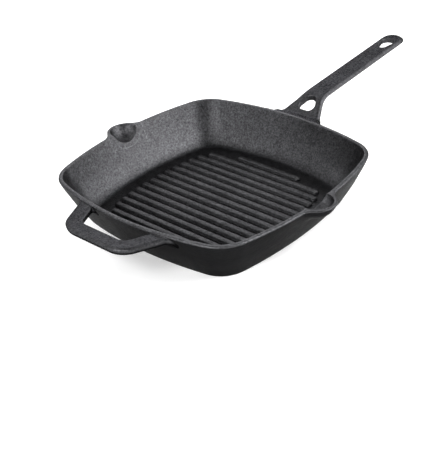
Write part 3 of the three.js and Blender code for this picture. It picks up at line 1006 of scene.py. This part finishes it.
def meshed(field, low, high, step):
    """Closed quad mesh of the field's zero surface, with its points and normals set by the field."""
    axes = [np.arange(low[k] - 2 * step, high[k] + 3 * step, step) for k in range(3)]
    x, y, z = np.meshgrid(*axes, indexing="ij", sparse=True)
    values = unpinched(field(x, y, z).astype(np.float32))
    solid = values < 0.0
    cells = tuple(n - 1 for n in values.shape)
    total = np.zeros(cells + (3,), np.float32)
    hits = np.zeros(cells, np.int16)
    corner = [(a, b, c) for a in (0, 1) for b in (0, 1) for c in (0, 1)]

    def part(array, shift):
        return array[tuple(slice(s, s + n) for s, n in zip(shift, cells))]

    for first in corner:
        for axis in range(3):
            if first[axis]:
                continue
            second = tuple(1 if k == axis else first[k] for k in range(3))
            a, b = part(values, first), part(values, second)
            crossed = part(solid, first) != part(solid, second)
            share = np.where(crossed, a / np.where(crossed, a - b, 1.0), 0.0)
            for k in range(3):
                total[..., k] += np.where(crossed, share if k == axis else first[k], 0.0)
            hits += crossed
    active = hits > 0
    index = np.full(cells, -1, np.int64)
    index[active] = np.arange(int(active.sum()))
    where = np.argwhere(active)
    origin = np.array([axis[0] for axis in axes])
    points = origin + step * (where + total[active] / hits[active][:, None])
    faces = []
    for axis in range(3):
        u, v = (axis + 1) % 3, (axis + 2) % 3
        here = [slice(1, -1)] * 3
        here[axis] = slice(0, -1)
        after = list(here)
        after[axis] = slice(1, None)
        a, b = solid[tuple(here)], solid[tuple(after)]
        edges = np.argwhere(a != b)
        entering = a[tuple(edges.T)]
        start = edges + 1
        start[:, axis] -= 1
        around = []
        for du, dv in ((-1, -1), (0, -1), (0, 0), (-1, 0)):
            cell = start.copy()
            cell[:, u] += du
            cell[:, v] += dv
            around.append(index[tuple(cell.T)])
        quads = np.stack(around, -1)
        quads = np.where(entering[:, None], quads, quads[:, ::-1])
        faces.append(quads)
    faces = np.concatenate(faces)
    reach = 0.5 * step

    def gradient(at_points, size):
        slopes = []
        for k in range(3):
            shift = np.zeros(3)
            shift[k] = size
            plus = field(*(at_points + shift).T)
            minus = field(*(at_points - shift).T)
            slopes.append((plus - minus) / (2.0 * size))
        return np.stack(slopes, -1)

    for _ in range(3):
        slope = gradient(points, 0.05)
        value = field(*points.T)
        move = -value[:, None] * slope / np.maximum((slope**2).sum(1, keepdims=True), 0.05)
        size = np.linalg.norm(move, axis=1, keepdims=True)
        points = points + move * np.minimum(1.0, reach / np.maximum(size, 1e-9)) * 0.9
    return points, faces, unit(gradient(points, 0.25))


# Boxes that hold the whole of each handle, with its root and its fillets.
FIELD_STEP = 0.65
HANDLE_ROOT_X = RIM_HALF - 26.0
HANDLE_ROOT_HALF = 58.0
HANDLE_ROOT_LOW = 5.0
HELPER_ROOT_X = RIM_HALF - 18.0
HELPER_ROOT_HALF = 74.0
HELPER_ROOT_LOW = 22.0
handle_from = (HANDLE_ROOT_X, -HANDLE_ROOT_HALF, HANDLE_ROOT_LOW)
handle_to = (HANDLE_TIP, HANDLE_ROOT_HALF, handle_high[2])
points, faces, normals = meshed(long_handle, handle_from, handle_to, FIELD_STEP)
piece("long_handle_cast", points, faces, normals, handle_iron, ["long_handle"])
helper_from = (-HELPER_FRONT, -HELPER_ROOT_HALF, HELPER_ROOT_LOW)
helper_to = (-HELPER_ROOT_X, HELPER_ROOT_HALF, HELPER_TOP)
points, faces, normals = meshed(helper_handle, helper_from, helper_to, FIELD_STEP)
piece("helper_handle_cast", points, faces, normals, handle_iron, ["helper_handle"])


# ---- floor and light ------------------------------------------------------------------------------
FLOOR_GLOW = 0.25  # the pan stands on a light table, which keeps its shadow faint
FLOOR_SIZE = 12.0  # metres
FLOOR_DROP = 0.0002
FLOOR_ROUGHNESS = 0.9


def quad(name, size, colour):
    mesh = bpy.data.meshes.new(name)
    half = size / 2.0
    corners = [(-half, -half, 0), (half, -half, 0), (half, half, 0), (-half, half, 0)]
    mesh.from_pydata(corners, [], [(0, 1, 2, 3)])
    made = bpy.data.objects.new(name, mesh)
    material = bpy.data.materials.new(name)
    material.use_nodes = True
    shader = material.node_tree.nodes["Principled BSDF"]
    shader.inputs["Base Color"].default_value = (*colour, 1.0)
    shader.inputs["Roughness"].default_value = FLOOR_ROUGHNESS
    shader.inputs["Emission Color"].default_value = (1.0, 1.0, 1.0, 1.0)
    shader.inputs["Emission Strength"].default_value = FLOOR_GLOW
    mesh.materials.append(material)
    bpy.context.scene.collection.objects.link(made)
    return made


ground = quad("ground", FLOOR_SIZE, (0.9, 0.9, 0.9))
ground.location.z = -FLOOR_DROP

world = bpy.data.worlds.new("studio")
world.use_nodes = True
WORLD_STRENGTH = 0.08
world.node_tree.nodes["Background"].inputs["Color"].default_value = (1.0, 1.0, 1.0, 1.0)
world.node_tree.nodes["Background"].inputs["Strength"].default_value = WORLD_STRENGTH
bpy.context.scene.world = world
bpy.context.scene.view_settings.view_transform = "Standard"

# Each light by name: its azimuth and elevation seen from the pan, in degrees, and its power in watts.
LIGHTS = {
    "front_right": (300.0, 22.0, 23.0),
    "front_high": (304.0, 36.0, 20.0),
    "back_low": (45.0, 22.0, 23.0),
    "left": (186.0, 34.0, 32.0),
    "back_high": (90.0, 38.0, 9.0),
    "back_left": (135.0, 38.0, 5.5),
    "far": (0.0, 38.0, 5.0),
    "overhead": (45.0, 60.0, 2.6),
    "edge": (330.0, 47.0, 9.0),
}
LIGHT_DISTANCE = 1.8
LIGHT_SIZE = 0.8
for name, (azimuth, elevation, power) in LIGHTS.items():
    lamp_data = bpy.data.lights.new(name, "AREA")
    lamp_data.size = LIGHT_SIZE
    lamp_data.energy = power
    lamp = bpy.data.objects.new(name, lamp_data)
    turn_by, tilt = math.radians(azimuth), math.radians(elevation)
    level_share = math.cos(tilt)
    toward = Vector((math.cos(turn_by) * level_share, math.sin(turn_by) * level_share, math.sin(tilt)))
    lamp.location = toward * LIGHT_DISTANCE
    lamp.rotation_euler = toward.to_track_quat("Z", "Y").to_euler()
    bpy.context.scene.collection.objects.link(lamp)
